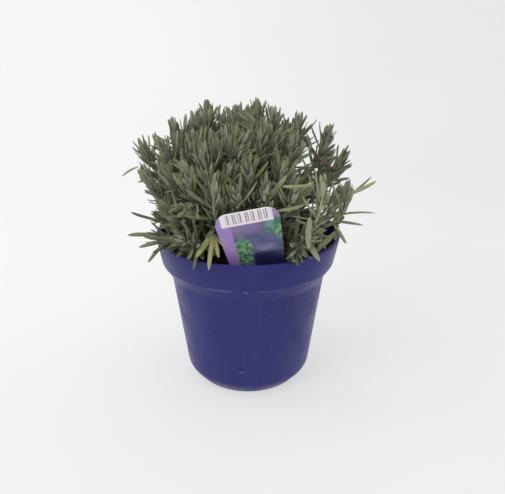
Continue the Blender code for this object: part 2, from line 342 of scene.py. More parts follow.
def speck_group():
    """Scattered specks with soft edges, for dust, grit and lint: a mask from 0 to 1."""
    group = bpy.data.node_groups.new("scattered_specks", "ShaderNodeTree")
    for name, way, kind in (
        ("Place", "INPUT", "Vector"), ("Scale", "INPUT", "Float"), ("Sparseness", "INPUT", "Float"),
        ("Mask", "OUTPUT", "Float"),
    ):
        group.interface.new_socket(name, in_out=way, socket_type="NodeSocket" + kind)
    inside = add_node(group, "NodeGroupInput")
    outside = add_node(group, "NodeGroupOutput")
    fine = add_node(group, "ShaderNodeTexNoise")
    fine.inputs["Detail"].default_value = 2.0
    plug(group, inside.outputs["Place"], fine.inputs["Vector"])
    plug(group, inside.outputs["Scale"], fine.inputs["Scale"])
    broad = add_node(group, "ShaderNodeTexNoise")
    broad.inputs["Detail"].default_value = 2.0
    plug(group, inside.outputs["Place"], broad.inputs["Vector"])
    plug(group, sums(group, "MULTIPLY", inside.outputs["Scale"], 0.12), broad.inputs["Scale"])
    patchy = sums(group, "ADD", fine.outputs["Fac"], sums(group, "MULTIPLY", broad.outputs["Fac"], 0.5))
    over = sums(group, "SUBTRACT", patchy, inside.outputs["Sparseness"])
    plug(group, between(group, over, 0.0, 0.06), outside.inputs["Mask"])
    return group


scattered_specks = speck_group()


def specks(tree, place, scale, sparseness):
    node = add_node(tree, "ShaderNodeGroup", node_tree=scattered_specks)
    plug(tree, place, node.inputs["Place"])
    node.inputs["Scale"].default_value = scale
    node.inputs["Sparseness"].default_value = sparseness
    return node.outputs["Mask"]


plastic, tree, shader = new_finish("blue_violet_plastic", 0.42, specular=0.22)
shader.inputs["Sheen Weight"].default_value = 0.07
shader.inputs["Sheen Roughness"].default_value = 0.40
shader.inputs["Sheen Tint"].default_value = (0.30, 0.36, 1.0, 1.0)
place = own_place(tree)
flow = blotches(tree, own_place(tree, (1, 1, 0.10)), 70.0, 0.42, 0.72)
# Painted highlight: a light, broken line along the band's lower edge and a light patch on the pull pip,
# where light catches them.
off_edge = sums(
    tree, "ABSOLUTE", sums(tree, "SUBTRACT", split_place(tree, place)["Z"], band_height - 0.0002),
)
painted_edge_highlight = times(
    tree, between(tree, off_edge, 0.0007, 0.0001), blotches(tree, place, 55.0, 0.48, 0.60),
)
off_pip = away_from(tree, place, (pip_aside, -band_radius, band_height - 0.0009))
painted_edge_highlight = sums(tree, "MAXIMUM", painted_edge_highlight, between(tree, off_pip, 0.0017, 0.0007, top=0.6))
colour = coats(
    tree, (0.017, 0.017, 0.118),
    (blotches(tree, place, 22.0, 0.3, 0.7), (0.021, 0.021, 0.140)),
    (times(tree, flow, 0.35), (0.034, 0.034, 0.175)),
    (times(tree, painted_edge_highlight, 0.75), (0.130, 0.125, 0.330)),
)
# Painted shade darkens the dimple's upper edge, and a painted highlight lightens its lower edge.
mark_squash = 0.34
flat_place = own_place(tree, (mark_squash, 1, 1))
for rise, sunk, wide, painted_tone in (
    (0.0011, 0.0006, 0.0013, (0.004, 0.004, 0.035)), (-0.0018, 0.0002, 0.0010, (0.120, 0.100, 0.270)),
):
    spot = (dimple_aside * mark_squash, sunk - dimple_radius, dimple_height + rise)
    off_mark = away_from(tree, flat_place, spot)
    colour = tint(tree, between(tree, off_mark, wide, 0.3 * wide, top=0.80), colour, painted_tone)
dust = specks(tree, place, 420.0, 0.995)
colour = tint(tree, times(tree, dust, 0.22), colour, (0.20, 0.20, 0.27))
plug(tree, colour, shader.inputs["Base Color"])
rubbed = between(tree, mottle(tree, place, 45.0, detail=5.0), 0.35, 0.75, bottom=0.34, top=0.54)
plug(tree, rubbed, shader.inputs["Roughness"])
grain = sums(tree, "ADD", mottle(tree, place, 900.0), times(tree, dust, 0.8))
relief(tree, shader, grain, 0.00004)
pot.data.materials.append(plastic)
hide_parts("pot")
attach(pot, "root")


# ------------------------------------------------------------------------------------------------
# The potting soil. Dark peat with bark crumbs, pressed into the pot and settled about a centimetre
# below the lip. Its top is uneven and littered with loose crumbs.
# ------------------------------------------------------------------------------------------------
soil_low, soil_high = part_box("potting_soil")
soil_level = soil_high.z - 0.0012
soil_edge = soil_high.x
clearance, soil_rise = 0.0004, 0.0006

deselect_all()
soil_base = base_radius - clearance
bpy.ops.mesh.primitive_circle_add(
    vertices=120, radius=soil_base, fill_type="NGON", location=(0, 0, soil_low.z),
)
soil = bpy.context.object
soil.name = "peat_soil"
settle(soil)
open_mesh()
top_steps = 26
soil_rings = [
    (heel_radius - wall - clearance, heel_height + soil_rise),
    (shoulder_radius - wall - clearance, shoulder_height + soil_rise),
    (band_radius - wall - clearance, band_height + soil_rise),
    (soil_edge, soil_level),
]
soil_rings += [(soil_edge * (1 - step / top_steps), soil_level) for step in range(1, top_steps)]
raise_rings(soil, soil_rings, soil_base, soil_low.z)
face_outwards()
close_mesh()

dice = random.Random(20)


def soil_height(x, y):
    """How far the soil's top stands above or below its level at a point."""
    near = Vector((x, y, 0.0))
    broad, fine = near * 70.0, near * 220.0 + Vector((5, 1, 2))
    return (
        0.0011 * solid_noise.noise(broad) + 0.0006 * solid_noise.noise(fine)
        + 0.0010 * (1 - (x * x + y * y) / soil_edge ** 2)
    )


for vert in soil.data.vertices:
    if vert.co.z > soil_level - 0.0001:
        vert.co.z += soil_height(vert.co.x, vert.co.y)

# Crumbs: one rough lump, copied all over the top at different sizes and turns.
deselect_all()
bpy.ops.mesh.primitive_ico_sphere_add(subdivisions=2, radius=1.0)
lump = bpy.context.object
for vert in lump.data.vertices:
    vert.co *= 1.0 + 0.35 * solid_noise.noise(vert.co * 1.7) + 0.12 * solid_noise.noise(vert.co * 5.0)
crumbs, crumb_count = [], 620
for index in range(crumb_count):
    spread = soil_edge * 0.975 * math.sqrt(dice.random())
    angle = math.tau * dice.random()
    x, y = spread * math.cos(angle), spread * math.sin(angle)
    size = 0.0004 + 0.0013 * dice.random() ** 2.5
    flat = 0.45 + 0.5 * dice.random()
    turn = Quaternion([dice.gauss(0, 1) for _ in range(4)]).normalized()
    crumb = bpy.data.objects.new("crumb", lump.data.copy())
    crumb.data.transform(
        Matrix.Translation((x, y, soil_level + soil_height(x, y) + 0.25 * size))
        @ turn.to_matrix().to_4x4() @ Matrix.Diagonal((size, size * flat, size * 0.8, 1.0))
    )
    bpy.context.collection.objects.link(crumb)
    crumbs.append(crumb)
bpy.data.objects.remove(lump)
pick_up(soil)
for crumb in crumbs:
    crumb.select_set(True)
bpy.ops.object.join()
bpy.ops.object.shade_smooth()

peat, tree, shader = new_finish("dark_peat", 0.95, specular=0.15)
place = own_place(tree)
colour = coats(
    tree, (0.010, 0.008, 0.006),
    (blotches(tree, place, 260.0, 0.35, 0.7, detail=6.0), (0.036, 0.027, 0.019)),
    (specks(tree, place, 900.0, 0.97), (0.085, 0.062, 0.040)),
)
plug(tree, colour, shader.inputs["Base Color"])
relief(tree, shader, mottle(tree, place, 700.0, detail=8.0, roughness=0.7), 0.0006)
soil.data.materials.append(peat)
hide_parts("potting_soil")
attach(soil, "root")


# ------------------------------------------------------------------------------------------------
# The plant. A woody crown, half buried, from which square-stemmed shoots fan out and turn upwards.
# Leaves stand in opposite pairs, each pair turned a quarter from the last, with a tuft of small
# leaves in each axil. They are narrow, velvety and grey-green, with rolled-under edges.
# ------------------------------------------------------------------------------------------------
crown_low, crown_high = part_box("woody_crown")
crown_radius = 0.5 * (crown_high.x - crown_low.x)
crown_centre = Vector((
    0.5 * (crown_low.x + crown_high.x), 0.5 * (crown_low.y + crown_high.y), crown_high.z - crown_radius,
))
stem_spread, stem_sweep, stem_upturn = math.radians(8), math.radians(14), math.radians(18)
stem_belly = 0.55
shoot_names = sorted(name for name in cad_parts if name.startswith("shoot_"))


def direction(azimuth, lean):
    return Vector((
        math.sin(lean) * math.sin(azimuth), -math.sin(lean) * math.cos(azimuth), math.cos(lean),
    ))


class Twig:
    """A stem's curve: a quadratic one, from its start by way of its belly to its topmost leaf."""

    def __init__(self, start, belly, tip, thick, thin, youth):
        self.start, self.belly, self.tip = start, belly, tip
        self.thick, self.thin, self.youth = thick, thin, youth
        steps = 120
        self.table = [(0.0, 1.0)]
        for step in range(1, steps + 1):
            t = 1 - step / steps
            run = (self.point(t) - self.point(t + 1 / steps)).length
            self.table.append((self.table[-1][0] + run, t))
        self.length = self.table[-1][0]

    def point(self, t):
        return self.start * (1 - t) ** 2 + self.belly * (2 * t * (1 - t)) + self.tip * t * t

    def along(self, t):
        return ((self.belly - self.start) * (1 - t) + (self.tip - self.belly) * t).normalized()

    def below_tip(self, distance):
        for below, t in self.table:
            if below >= distance:
                return t
        return 0.0


# How each shoot grows: how many side twigs and leaf pairs it has, how large its leaves are, whether
# small leaves fill its axils, how far it reaches in its solid, and its tone (below 0 darker and
# greener, above 0 paler and greyer). Shoots that aren't listed grow by the rule further down.
habits = {
    31: (0, 9, 0.62, True, 0.87, -0.35),
    32: (1, 11, 0.80, True, 1.0, 0.0),
    26: (1, 12, 0.90, True, 1.0, -0.2),
    36: (0, 9, 0.65, True, 0.80, 0.1),
    45: (0, 9, 0.75, False, 0.95, 0.0),
    46: (0, 10, 0.80, True, 1.0, 0.0),
    19: (0, 7, 0.60, False, 0.82, -0.2),
    11: (0, 17, 0.78, True, 1.0, -0.55),
    12: (0, 13, 0.75, True, 0.95, -0.5),
    44: (0, 12, 0.70, True, 1.0, -0.3),
    25: (0, 10, 0.95, True, 1.0, 0.25),
    30: (0, 9, 0.75, False, 0.97, -0.1),
    34: (0, 9, 0.65, False, 0.80, -0.1),
    49: (0, 8, 0.70, False, 1.0, 0.0),
    50: (0, 9, 0.65, False, 0.95, 0.1),
    37: (0, 10, 0.75, False, 0.88, 0.2),
    13: (0, 10, 0.92, True, 0.95, 0.25),
    35: (1, 12, 0.90, True, 1.0, -0.3),
    10: (0, 15, 1.05, True, 1.0, 0.15),
    8: (0, 14, 0.90, True, 1.0, 0.1),
    53: (0, 11, 0.85, True, 0.95, -0.2),
    29: (0, 12, 0.95, True, 1.0, 0.1),
    33: (0, 11, 1.0, True, 1.0, -0.2),
    5: (0, 15, 0.95, True, 1.0, 0.0),
    18: (1, 15, 0.95, True, 1.0, 0.1),
    24: (1, 15, 0.95, True, 1.0, 0.0),
    40: (1, 14, 0.90, True, 1.0, 0.0),
    22: (0, 11, 0.95, True, 1.0, -0.45),
    23: (2, 15, 1.0, True, 1.0, -0.3),
}
# Three shoots at the front grow low and bare before they turn up.
low_bellies = {
    22: Vector((-0.027, -0.064, 0.124)),
    25: Vector((0.050, -0.072, 0.118)),
    13: Vector((0.074, -0.034, 0.116)),
}


def stem_curve(tip):
    """Where a stem that ends at this tip leaves the crown, how it bends on its way, and its lean."""
    reach = tip - crown_centre
    lean = math.acos(reach.z / reach.length)
    azimuth = math.atan2(reach.x, -reach.y)
    root = direction(azimuth, lean + stem_spread * math.sin(2 * lean))
    sweep = stem_sweep * math.sin(lean) + stem_upturn * math.sin(2 * lean) ** 2
    belly = crown_centre + direction(azimuth, lean + sweep) * (stem_belly * reach.length)
    return crown_centre + root * (crown_radius * 0.9), belly, lean


def off_solid(tip, corners):
    """How far from the solid's corners a stem with this tip would run, summed along it."""
    start, belly, _ = stem_curve(tip)
    total = 0.0
    for step in range(3, 20):
        t = step / 20
        spot = np.array(start * (1 - t) ** 2 + belly * (2 * t * (1 - t)) + tip * t * t)
        total += np.linalg.norm(corners - spot, axis=1).min()
    return total


# A stem's radius at its foot and at its tip, and how green it starts.
usual_build, low_build = (0.00110, 0.00062, 0.0), (0.00140, 0.00085, 0.25)
tip_window = 0.0035
growth_of, stems = {}, {}
for name in shoot_names:
    number = int(name[-2:])
    corners = np.array([vert.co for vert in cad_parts[name].data.vertices])
    out = np.linalg.norm(corners - np.array(crown_centre), axis=1)
    # Leaf tips stand about as far out as the bud's. The bud's is the one whose stem fits the solid.
    outer = [Vector(corner) for corner in corners[out > out.max() - tip_window]]
    bud_tip = min(outer, key=lambda spot: off_solid(spot, corners))
    _, _, lean = stem_curve(bud_tip)
    branching = 3 if lean < 0.64 else 2 if lean < 0.93 else 1
    growth_of[name] = habits.get(number, (branching, 15, 1.0, True, 1.0, 0.0))
    tip = crown_centre.lerp(bud_tip, growth_of[name][4])
    start, belly, _ = stem_curve(tip)
    thick, thin, youth = low_build if number in low_bellies else usual_build
    stems[name] = Twig(start, low_bellies.get(number, belly), tip, thick, thin, youth)


def leaf_breadth(share):
    """The blade's breadth along its length: a narrow foot, parallel sides and a blunt tip."""
    if share < 0.35:
        return 0.42 + 0.58 * math.sin(0.5 * math.pi * share / 0.35)
    if share < 0.62:
        return 1.0
    return math.sqrt(max(1 - ((share - 0.62) / 0.388) ** 2, 0.0))


leaf_length, leaf_width = 0.0240, 0.0032


def model_leaf(name, columns, rows, edge_drop, ridge_rise, groove_drop):
    """A leaf along +Y with its upper face up: a grid, shaped row by row and given its thickness."""
    deselect_all()
    bpy.ops.mesh.primitive_grid_add(x_subdivisions=columns, y_subdivisions=len(rows) - 1, size=1.0)
    blade = bpy.context.object
    blade.name = name
    blade.scale = (leaf_width, leaf_length, 1.0)
    blade.location = (0.0, 0.5 * leaf_length, 0.0)
    settle(blade)
    bpy.ops.object.mode_set(mode="EDIT")
    for row, share in reversed(list(enumerate(rows))):
        even = leaf_length * row / (len(rows) - 1)
        choose(blade, "verts", lambda vert: abs(vert.co.y - even) < 0.00005)
        bpy.ops.transform.translate(value=(0, leaf_length * share - even + 0.1, 0))
    bpy.ops.mesh.select_all(action="SELECT")
    bpy.ops.transform.translate(value=(0, -0.1, 0))
    for share in rows:
        breadth = leaf_breadth(share)
        height = leaf_length * share
        choose(blade, "verts", lambda vert: abs(vert.co.y - height) < 0.0001)
        bpy.ops.transform.resize(value=(breadth, 1, 1), center_override=(0, height, 0))
        for column in range(columns + 1):
            aside = 2 * column / columns - 1
            lift = ridge_rise if abs(aside) == 0.5 else (-edge_drop if abs(aside) == 1 else -groove_drop)
            side = 0.5 * aside * leaf_width * breadth
            choose(
                blade, "verts",
                lambda vert: abs(vert.co.y - height) < 0.0001 and abs(vert.co.x - side) < 0.00002,
            )
            bpy.ops.transform.translate(value=(0, 0, lift * breadth))
    close_mesh()
    apply_modifier(blade, "SOLIDIFY", thickness=0.00032, offset=-1.0)
    blade_map = blade.data.uv_layers.new(name="blade")
    for polygon in blade.data.polygons:
        under = 1.0 if polygon.normal.z < -0.05 else 0.0
        for corner in polygon.loop_indices:
            spot = blade.data.vertices[blade.data.loops[corner].vertex_index].co
            share = min(max(spot.y / leaf_length, 0.0), 1.0)
            aside = spot.x / (leaf_width * max(leaf_breadth(share), 0.1)) * 0.9 + 0.5
            blade_map.data[corner].uv = (aside + under, share)
    for layer in [layer.name for layer in blade.data.uv_layers if layer.name != "blade"]:
        blade.data.uv_layers.remove(blade.data.uv_layers[layer])
    blade.data.attributes.new("leaf_age", "FLOAT", "POINT")
    blade.data.attributes.new("leaf_tone", "FLOAT", "POINT")
    return blade


masters = {
    "full": model_leaf("full_leaf", 4, (0.0, 0.12, 0.38, 0.66, 0.87, 1.0), 0.00055, 0.00016, 0.00014),
    "small": model_leaf("small_leaf", 2, (0.0, 0.28, 0.62, 0.86, 1.0), 0.00040, 0.0, -0.00006),
}
master_points = {
    name: np.array([vert.co for vert in blade.data.vertices]) for name, blade in masters.items()
}


def bent_blade(kind, seat, blade, face, length, width, bend, twist):
    """A master leaf's points, sized, curved along its length and set on its seat."""
    points = master_points[kind]
    side = blade.cross(face)
    share = points[:, 1] / leaf_length
    turn = bend * share
    forward = np.sin(turn) / bend * length
    rise = (1 - np.cos(turn)) / bend * length
    x = points[:, 0] * width / leaf_width
    z = points[:, 2] * width / leaf_width
    rolled = twist * share
    across = x * np.cos(rolled) - z * np.sin(rolled)
    normal = x * np.sin(rolled) + z * np.cos(rolled)
    forward = forward - normal * np.sin(turn)
    rise = rise + normal * np.cos(turn)
    return (
        np.array(seat) + np.outer(forward, np.array(blade)) + np.outer(rise, np.array(face))
        + np.outer(across, np.array(side))
    )


def midline(seat, blade, face, length, bend):
    """Six points along a leaf's middle, from its foot to its tip."""
    points = [seat]
    for step in range(1, 7):
        turn = bend * step / 6
        forward, rise = math.sin(turn) / bend * length, (1 - math.cos(turn)) / bend * length
        points.append(seat + blade * forward + face * rise)
    return points


_, label_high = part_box("plant_label")
label_spots = np.unique(
    np.round(np.array([vert.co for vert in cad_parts["plant_label"].data.vertices]), 6), axis=0,
)
label_centre = Vector(label_spots.mean(axis=0))
_, _, label_axes = np.linalg.svd(label_spots - np.array(label_centre))
label_up = Vector(label_axes[0])
label_up *= math.copysign(1.0, label_up.z)
label_front = Vector(label_axes[2])
label_front *= math.copysign(1.0, -label_front.y)
label_right = label_up.cross(label_front)
label_half, label_passing, label_near = 0.0225, 0.0230, 0.0014
wall_slope = 0.18
plant_low = Vector(cad_bounds[0]) - Vector((0.001, 0.001, 0.0))
plant_high = Vector(cad_bounds[1]) + Vector((0.001, 0.001, 0.001))


def blocked(point):
    """True outside the plant's bounds, or inside the pot's wall, the soil or the label's way."""
    if any(point[axis] < plant_low[axis] or point[axis] > plant_high[axis] for axis in range(3)):
        return True
    out = math.hypot(point.x, point.y)
    if point.z < soil_level + 0.0012 and out < lip_radius:
        return True
    drop = wall_slope * max(pot_height - point.z, 0.0)
    if point.z < pot_height + 0.0012 and lip_radius - 0.0030 - drop < out < lip_radius + 0.0012 - drop:
        return True
    spot = point - label_centre
    return (
        abs(spot.dot(label_front)) < label_near and abs(spot.dot(label_right)) < label_half
        and point.z < label_high.z + 0.001
    )


room_cell = 0.0030
room = {}


def cell_of(point):
    return (
        math.floor(point.x / room_cell), math.floor(point.y / room_cell), math.floor(point.z / room_cell),
    )


neighbours = [(dx, dy, dz) for dx in (-1, 0, 1) for dy in (-1, 0, 1) for dz in (-1, 0, 1)]


def through_label(start, end):
    """True where a step passes from one side of the label to the other."""
    before, after = (start - label_centre).dot(label_front), (end - label_centre).dot(label_front)
    if before * after > 0:
        return False
    spot = start.lerp(end, before / (before - after)) - label_centre
    return abs(spot.dot(label_right)) < label_passing and (spot + label_centre).z < label_high.z + 0.001


def crowded(points, owner, others=0.0017, own=0.0009):
    """True where the points come too near to leaves and stems that are already there."""
    for step, point in enumerate(points):
        if blocked(point) or (step and through_label(points[step - 1], point)):
            return True
        home = cell_of(point)
        for dx, dy, dz in neighbours:
            for other, spot in room.get((home[0] + dx, home[1] + dy, home[2] + dz), ()):
                near = others if other is not owner else (own if step > 3 else 0.0)
                if near and (point - spot).length_squared < near * near:
                    return True
    return False


def occupy(points, owner):
    for point in points:
        room.setdefault(cell_of(point), []).append((owner, point))


def walk(twig, spacing=0.0015):
    count = max(2, int(twig.length / spacing))
    return [twig.point(step / count) for step in range(count + 1)]


for stem in stems.values():
    occupy(walk(stem), stem)

# Side twigs: each shoot branches where there is room, and each twig ends in a tuft of its own.
dice = random.Random(11)
twigs = []
tips = [stem.tip for stem in stems.values()]
reserve = [Vector(shift) * 0.007 for shift in ((1, 0, 0), (-1, 0, 0), (0, 1, 0), (0, -1, 0))]
for sprout in range(3):
    for name in shoot_names:
        if sprout >= growth_of[name][0]:
            continue
        stem = stems[name]
        for attempt in range(24):
            below = dice.uniform(0.020, 0.060)
            if below > stem.length * 0.80:
                continue
            t = stem.below_tip(below)
            start, along = stem.point(t), stem.along(t)
            turn = dice.uniform(0, math.tau)
            first = along.orthogonal().normalized()
            side = first * math.cos(turn) + along.cross(first) * math.sin(turn)
            run = dice.uniform(0.45, 0.92) * below
            swerve = dice.uniform(0.0090, 0.0170)
            upward = (stem.along(min(1.0, t + 0.3)) * 0.8 + Vector((0, 0, 0.2))).normalized()
            tip = start + upward * run + side * swerve
            belly = start + along * (0.40 * run) + side * (0.85 * swerve)
            if (tip - crown_centre).length > (stem.tip - crown_centre).length - 0.004:
                continue
            if any((tip - other).length < 0.0115 for other in tips):
                continue
            twig = Twig(start, belly, tip, 0.00068, 0.00045, 0.6)
            if crowded(walk(twig, 0.002)[2:], stem, others=0.0040, own=0.0):
                continue
            if any(blocked(tip + shift) for shift in reserve):
                continue
            twigs.append((name, twig))
            tips.append(tip)
            occupy(walk(twig), twig)
            break

# One bare brown twig crosses the gap at the upper right and ends in a small tuft.
bare_twig = Twig(
    stems["shoot_12"].point(stems["shoot_12"].below_tip(0.018)), Vector((0.0500, -0.0060, 0.1640)),
    Vector((0.0385, -0.0070, 0.1850)), 0.00105, 0.00080, -1.0,
)
twigs.append(("shoot_12", bare_twig))
tips.append(bare_twig.tip)
occupy(walk(bare_twig), bare_twig)
tuft_rays = [((tip - crown_centre).normalized(), (tip - crown_centre).length) for tip in tips]


def within_tufts(point):
    """True inside the plant's tufts, whose tops are round and stand a little apart."""
    away = point - crown_centre
    reach = away.length
    way = away / reach
    for ray, tuft in tuft_rays:
        level = ray.dot(way)
        if level > 0.75:
            aside = reach * math.acos(min(level, 1.0))
            if reach < tuft + 0.0015 - 0.80 * max(aside - 0.0050, 0.0):
                return True
    return False


leaves = {name: [] for name in shoot_names}


def lay_leaf(name, root, tip, bend, width, age, tone, face=Vector((0, -0.6, 0.8)), twist=0.3):
    """Places one leaf from a root point to a tip point, curved along its length."""
    root, tip = Vector(root), Vector(tip)
    chord = (tip - root).normalized()
    upper = (face - chord * chord.dot(face)).normalized()
    blade = chord * math.cos(bend / 2) - upper * math.sin(bend / 2)
    turned = chord * math.sin(bend / 2) + upper * math.cos(bend / 2)
    length = (tip - root).length * bend / (2 * math.sin(bend / 2))
    leaves[name].append(("full", root, blade, turned, length, width, bend, twist, age, tone))
    occupy(midline(root, blade, turned, length, bend)[1:], None)


# Old yellow leaves hang from the bare stem at the front left, over the pot's lip.
for tip, bend, width, age in (
    ((-0.0325, -0.0645, 0.1190), -0.5, 0.0036, 0.75), ((-0.0240, -0.0715, 0.1135), -0.7, 0.0030, 0.60),
    ((-0.0180, -0.0635, 0.1185), -0.6, 0.0031, 0.95), ((-0.0135, -0.0585, 0.1235), -0.5, 0.0027, 0.85),
    ((-0.0290, -0.0610, 0.1250), -0.5, 0.0028, 0.60),
):
    lay_leaf("shoot_22", (-0.0218, -0.0545, 0.1310), tip, bend, width, age, 0.6)

# Broad pale leaves droop at the front right, and thin ones stick out at the right and the left.
for name, laid in (
    ("shoot_25", (
        ((0.0392, -0.0560, 0.1430), (0.0385, -0.0665, 0.1260), -0.5, 0.0044, 0.10, 1.0),
        ((0.0365, -0.0530, 0.1290), (0.0455, -0.0680, 0.1180), -0.5, 0.0042, 0.12, 1.0),
        ((0.0385, -0.0560, 0.1525), (0.0185, -0.0610, 0.1490), 0.5, 0.0024, 0.0, 0.8),
        ((0.0380, -0.0560, 0.1640), (0.0215, -0.0620, 0.1650), 0.3, 0.0026, 0.0, 0.9),
    )),
    ("shoot_13", (
        ((0.0600, -0.0265, 0.1340), (0.0860, -0.0300, 0.1371), -0.8, 0.0020, 0.0, 0.7),
        ((0.0585, -0.0260, 0.1300), (0.0785, -0.0300, 0.1285), -0.4, 0.0026, 0.0, 0.8),
        ((0.0590, -0.0260, 0.1280), (0.0675, -0.0330, 0.1160), -0.3, 0.0030, 0.0, 0.8),
        ((0.0680, -0.0260, 0.1490), (0.0860, -0.0250, 0.1580), 0.2, 0.0032, 0.0, 0.9),
    )),
    ("shoot_37", (
        ((0.0700, -0.0050, 0.1400), (0.0865, -0.0060, 0.1560), 0.3, 0.0020, 0.0, 0.5),
    )),
    ("shoot_10", (
        ((-0.0755, -0.0100, 0.1641), (-0.0906, 0.0060, 0.1531), -0.3, 0.0024, 0.0, 0.4),
    )),
    ("shoot_31", (
        ((-0.0600, -0.0320, 0.1330), (-0.0765, -0.0400, 0.1410), 0.3, 0.0022, 0.0, 0.2),
    )),
    ("shoot_32", (
        ((-0.0590, -0.0430, 0.1260), (-0.0790, -0.0440, 0.1265), -0.5, 0.0030, 0.0, 0.3),
        ((-0.0560, -0.0450, 0.1220), (-0.0715, -0.0470, 0.1190), -0.5, 0.0026, 0.0, 0.3),
        ((-0.0540, -0.0470, 0.1230), (-0.0645, -0.0560, 0.1120), -0.4, 0.0024, 0.05, 0.3),
    )),
    ("shoot_26", (
        ((-0.0300, -0.0500, 0.1460), (-0.0520, -0.0570, 0.1440), 0.9, 0.0026, 0.0, 0.7),
    )),
    ("shoot_35", (
        ((0.0440, -0.0350, 0.1185), (0.0275, -0.0385, 0.1135), 0.3, 0.0034, 0.08, 0.9),
        ((0.0450, -0.0330, 0.1215), (0.0262, -0.0262, 0.1195), 0.3, 0.0030, 0.0, 0.0),
        ((0.0320, -0.0240, 0.1200), (0.0250, -0.0430, 0.1125), 0.3, 0.0030, 0.0, 0.0),
        ((0.0385, -0.0330, 0.1200), (0.0325, -0.0465, 0.1120), 0.3, 0.0030, 0.0, 0.1),
        ((0.0500, -0.0290, 0.1210), (0.0518, -0.0420, 0.1160), 0.3, 0.0028, 0.0, 0.5),
    )),
    ("shoot_34", (
        ((0.0610, -0.0275, 0.1235), (0.0470, -0.0420, 0.1165), 0.3, 0.0040, 0.0, 0.6),
        ((0.0560, -0.0285, 0.1200), (0.0440, -0.0475, 0.1150), 0.3, 0.0034, 0.0, 0.2),
        ((0.0625, -0.0200, 0.1270), (0.0592, -0.0350, 0.1195), 0.3, 0.0030, 0.0, 0.2),
    )),
    ("shoot_33", (
        ((-0.0425, -0.0315, 0.1200), (-0.0520, -0.0520, 0.1180), 0.3, 0.0030, 0.0, 0.6),
        ((-0.0400, -0.0360, 0.1185), (-0.0450, -0.0590, 0.1178), 0.4, 0.0032, 0.0, 0.4),
        ((-0.0360, -0.0390, 0.1180), (-0.0378, -0.0620, 0.1172), 0.4, 0.0030, 0.05, 0.7),
        ((-0.0320, -0.0400, 0.1175), (-0.0285, -0.0605, 0.1162), 0.4, 0.0030, 0.0, 0.3),
    )),
    ("shoot_32", (
        ((-0.0470, -0.0300, 0.1205), (-0.0575, -0.0465, 0.1195), 0.3, 0.0030, 0.0, 0.5),
        ((-0.0500, -0.0345, 0.1215), (-0.0610, -0.0560, 0.1190), 0.5, 0.0026, 0.0, 0.2),
    )),
):
    for root, tip, bend, width, age, tone in laid:
        lay_leaf(name, root, tip, bend, width, age, tone)


least_bend = 0.02


def grow_leaf(name, twig, t, side, length, opening, width, age, kind, incurve, tone):
    """Places one leaf where it finds room, turning aside or shrinking a little if it must."""
    along = twig.along(t)
    seat = twig.point(t) + side * 0.0005
    bend = incurve + dice.uniform(-0.12, 0.18)
    if abs(bend) < least_bend:
        bend = least_bend
    twist = dice.uniform(-0.6, 0.6)
    for attempt in range(5):
        spread = opening + dice.gauss(0, 0.08) + 0.06 * attempt * (-1) ** attempt
        swing = dice.gauss(0, 0.12) + 0.12 * attempt * dice.choice((-1, 1))
        width_way = along.cross(side).normalized()
        blade = along * math.cos(spread) + side * math.sin(spread)
        blade = (blade * math.cos(swing) + width_way * math.sin(swing)).normalized()
        face = (along - blade * along.dot(blade)).normalized()
        size = length * dice.uniform(0.86, 1.10) * (1 - 0.07 * attempt)
        line = midline(seat, blade, face, size, bend)
        crossing = through_label(line[0], line[1])
        if within_tufts(line[-1]) and not crowded(line[1:], twig) and not crossing:
            occupy(line[1:], twig)
            leaves[name].append((kind, seat, blade, face, size, width, bend, twist, age, tone))
            return True
    return False


def pair_axis(twig, t, rank):
    """The way a leaf pair points: level, and a quarter turn on for every other pair."""
    along = twig.along(t)
    level = along.cross(Vector((0, 0, 1)))
    level = level.normalized() if level.length > 0.05 else Vector((1, 0, 0))
    return level if rank % 2 else level.cross(along).normalized()


dice = random.Random(7)
growers = []
for name in shoot_names:
    _, pairs, scale, tufted, _, hue = growth_of[name]
    lowest = 0.50 if int(name[-2:]) in low_bellies else 0.18
    hue += dice.gauss(0, 0.20)
    growers.append((name, stems[name], pairs, scale, tufted, hue, 0.0080, 0.0245, lowest))
for name, twig in twigs:
    _, pairs, scale, tufted, _, hue = growth_of[name]
    lowest = 0.75 if twig is bare_twig else 0.06
    hue += dice.gauss(0, 0.15)
    growers.append((name, twig, 9, scale, tufted, hue, 0.0055, 0.0180, lowest))

for rank in range(17):
    for name, twig, pairs, scale, tufted, hue, first, longest, lowest in growers:
        if rank >= pairs:
            continue
        below = first + 0.00125 * (1.19 ** rank - 1) / 0.19
        below *= dice.uniform(0.96, 1.04)
        length = scale * min(longest, 0.0080 + 0.0030 * rank) * (1.0 if rank < 10 else 0.90)
        t = twig.below_tip(below)
        if t < lowest:
            continue
        axis = pair_axis(twig, t, rank)
        opening = math.radians(min(10 + 5.2 * rank, 78) + dice.gauss(0, 4))
        age = max(0.0, (rank - 10) * 0.07 + dice.gauss(0, 0.05))
        incurve = 0.40 - 0.05 * rank
        kind = "full" if rank >= 2 else "small"
        width = (0.0018 + 0.0015 * min(1.0, rank / 6)) * (0.35 + 0.65 * scale)
        for side in (axis, -axis):
            tone = min(1.0, max(0.0, 0.62 - 0.026 * rank + hue + dice.gauss(0, 0.28)))
            grow_leaf(name, twig, t, side, length, opening, width, age, kind, incurve, tone)
        if tufted and rank >= 3:
            for side in (axis, -axis):
                for part, small in ((0.50, 0.58), (0.80, 0.42)):
                    skew = dice.choice((-1, 1)) * dice.uniform(0.4, 1.0)
                    aside = (side + axis.cross(twig.along(t)) * skew).normalized()
                    tone = min(1.0, max(0.0, 0.62 - 0.026 * rank + hue + dice.gauss(0, 0.28)))
                    grow_leaf(
                        name, twig, t, aside, length * small * dice.uniform(0.8, 1.2), opening * part,
                        0.0025, age * 0.5, "small", 0.2, tone,
                    )

